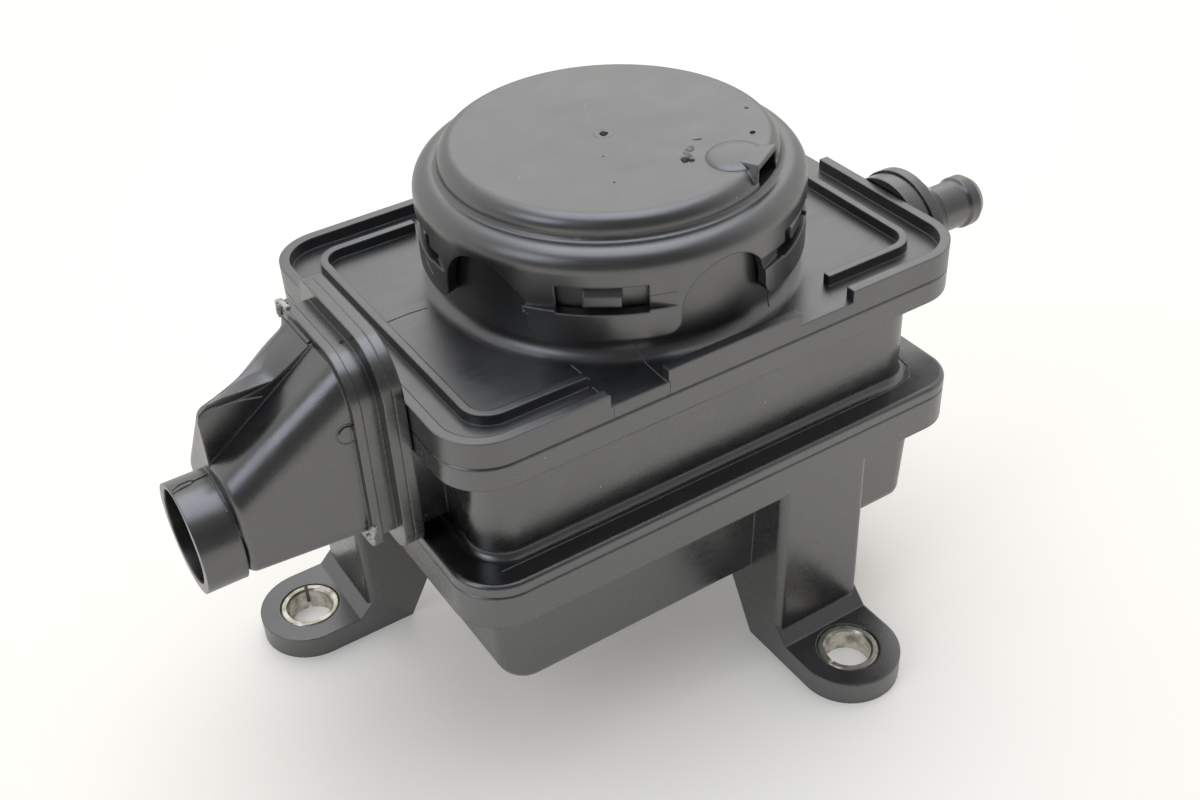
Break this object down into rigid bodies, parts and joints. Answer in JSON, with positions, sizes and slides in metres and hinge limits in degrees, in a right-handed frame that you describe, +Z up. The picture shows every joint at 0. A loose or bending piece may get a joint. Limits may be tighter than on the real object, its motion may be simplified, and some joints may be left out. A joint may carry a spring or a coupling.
{
  "type": "crankcase pcv valve",
  "caption": "Black plastic crankcase ventilation valve with an oil separator box, a round clipped regulator cap, a tapered inlet duct, an outlet nipple and feet with split steel bushes.",
  "frame": {"origin": "on the mounting plane under the feet, at the middle of the part's overall length and width", "axes": "+X along the box's long side from the inlet spigot to the outlet nipple, +Z up out of the mounting plane, -Y the front wall"},
  "size_m": [0.1558, 0.1092, 0.1015],
  "materials": {
    "casing_plastic": "satin moulded, glass-filled",
    "cover_plastic": "satin moulded, glass-filled",
    "cap_plastic": "satin moulded",
    "duct_plastic": "satin moulded",
    "nipple_plastic": "satin moulded",
    "insert_plastic": "satin moulded",
    "plate_plastic": "natural, satin",
    "bush_steel": "zinc-plated, rolled",
    "spring_steel": "drawn wire",
    "diaphragm_rubber": "matt",
    "valve_rubber": "matt"
  },
  "bodies": {
    "casing": {"sump_tray": "casing_plastic", "drain_valve": "valve_rubber", "foot_bush_front": "bush_steel", "foot_bush_left": "bush_steel", "foot_bush_rear": "bush_steel", "separator_housing": "casing_plastic", "separator_insert": "insert_plastic", "top_cover": "cover_plastic", "diaphragm_cap": "cap_plastic", "diaphragm": "diaphragm_rubber", "control_spring": "spring_steel", "inlet_frame": "duct_plastic", "inlet_duct": "duct_plastic", "outlet_nipple": "nipple_plastic"},
    "regulator": {"diaphragm_plate": "plate_plastic"}
  },
  "joints": [
    {"name": "regulator_slide", "type": "slide", "parent": "casing", "child": "regulator", "axis": [0, 0, 1], "range_m": [-0.004, 0], "stiffness_N_per_m": 600, "springref_m": 0.0015, "deforming": ["control_spring", "diaphragm"]}
  ]
}
